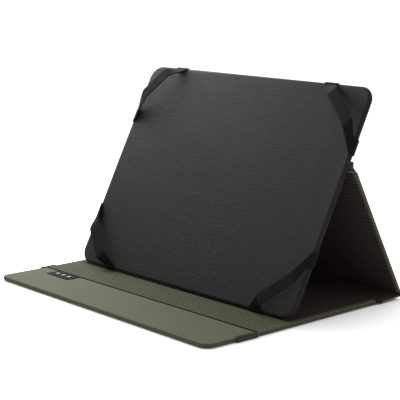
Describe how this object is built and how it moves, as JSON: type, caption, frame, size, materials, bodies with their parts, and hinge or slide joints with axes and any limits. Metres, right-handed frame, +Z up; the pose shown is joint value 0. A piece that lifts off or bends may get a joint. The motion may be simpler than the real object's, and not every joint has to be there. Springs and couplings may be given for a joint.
{
  "type": "tablet case",
  "caption": "Folio case for a tablet, standing open: the back folds into a strut and the holder panel has an elastic strap at each corner.",
  "frame": {"origin": "under the middle of the case, on the surface that it stands on", "axes": "+X along the width to the right as seen from the front, +Y from the free edge of the front cover towards the spine, +Z up"},
  "size_m": [0.2676, 0.2117, 0.1753],
  "materials": {
    "olive_fabric": "matte woven-look coated fabric",
    "olive_lining": "matte ripstop",
    "black_lining": "matte ripstop",
    "panel_fabric": "matte fine weave",
    "black_elastic": "matte ribbed webbing",
    "olive_elastic": "matte ribbed webbing",
    "woven_label": "satin weave",
    "stiff_board": "raw",
    "foam": "open cell"
  },
  "bodies": {
    "front_cover": {"front_outer_skin": "olive_fabric", "front_board": "stiff_board", "front_lining_olive": "olive_lining", "front_lining_black": "black_lining", "woven_label": "woven_label", "closure_band": "olive_elastic"},
    "spine": {"spine_skin": "olive_fabric", "spine_board": "stiff_board", "spine_lining": "black_lining"},
    "back_cover": {"back_skin": "olive_fabric", "back_board": "stiff_board", "back_lining": "black_lining"},
    "holder_panel": {"upper_back_skin": "olive_fabric", "upper_back_board": "stiff_board", "panel_back_cover": "panel_fabric", "panel_board": "stiff_board", "panel_foam": "foam", "panel_front_cover": "panel_fabric", "strap_top_right_top_leg": "black_elastic", "strap_top_right_side_leg": "black_elastic", "strap_top_left_top_leg": "black_elastic", "strap_top_left_side_leg": "black_elastic", "strap_bottom_left_bottom_leg": "black_elastic", "strap_bottom_left_side_leg": "black_elastic", "strap_bottom_right_bottom_leg": "black_elastic", "strap_bottom_right_side_leg": "black_elastic"},
    "strap_top_right": {"strap_top_right": "black_elastic"},
    "strap_top_left": {"strap_top_left": "black_elastic"},
    "strap_bottom_left": {"strap_bottom_left": "black_elastic"},
    "strap_bottom_right": {"strap_bottom_right": "black_elastic"}
  },
  "joints": [
    {"name": "spine_fold", "type": "hinge", "parent": "front_cover", "child": "spine", "pos_m": [0, 0.0794, 0.0014], "axis": [1, 0, 0], "range_deg": [-90, 0]},
    {"name": "stand_fold", "type": "hinge", "parent": "spine", "child": "back_cover", "pos_m": [0, 0.106, 0.0031], "axis": [1, 0, 0], "range_deg": [-115.07, 0]},
    {"name": "panel_fold", "type": "hinge", "parent": "back_cover", "child": "holder_panel", "pos_m": [0, 0.04536, 0.11372], "axis": [1, 0, 0], "range_deg": [-0.5, 57.13]},
    {"name": "strap_top_right_stretch", "type": "slide", "parent": "holder_panel", "child": "strap_top_right", "axis": [0.6373, 0.0209, 0.7704], "range_m": [0, 0.017], "stiffness_N_per_m": 60},
    {"name": "strap_top_left_stretch", "type": "slide", "parent": "holder_panel", "child": "strap_top_left", "axis": [-0.7232, -0.0215, 0.6904], "range_m": [0, 0.017], "stiffness_N_per_m": 60},
    {"name": "strap_bottom_left_stretch", "type": "slide", "parent": "holder_panel", "child": "strap_bottom_left", "axis": [-0.6577, -0.6163, -0.4331], "range_m": [0, 0.017], "stiffness_N_per_m": 60},
    {"name": "strap_bottom_right_stretch", "type": "slide", "parent": "holder_panel", "child": "strap_bottom_right", "axis": [0.6361, -0.6259, -0.4512], "range_m": [0, 0.017], "stiffness_N_per_m": 60}
  ],
  "couplings": [
    {"joint": "panel_fold", "follows": "stand_fold", "ratio": -0.49211}
  ]
}
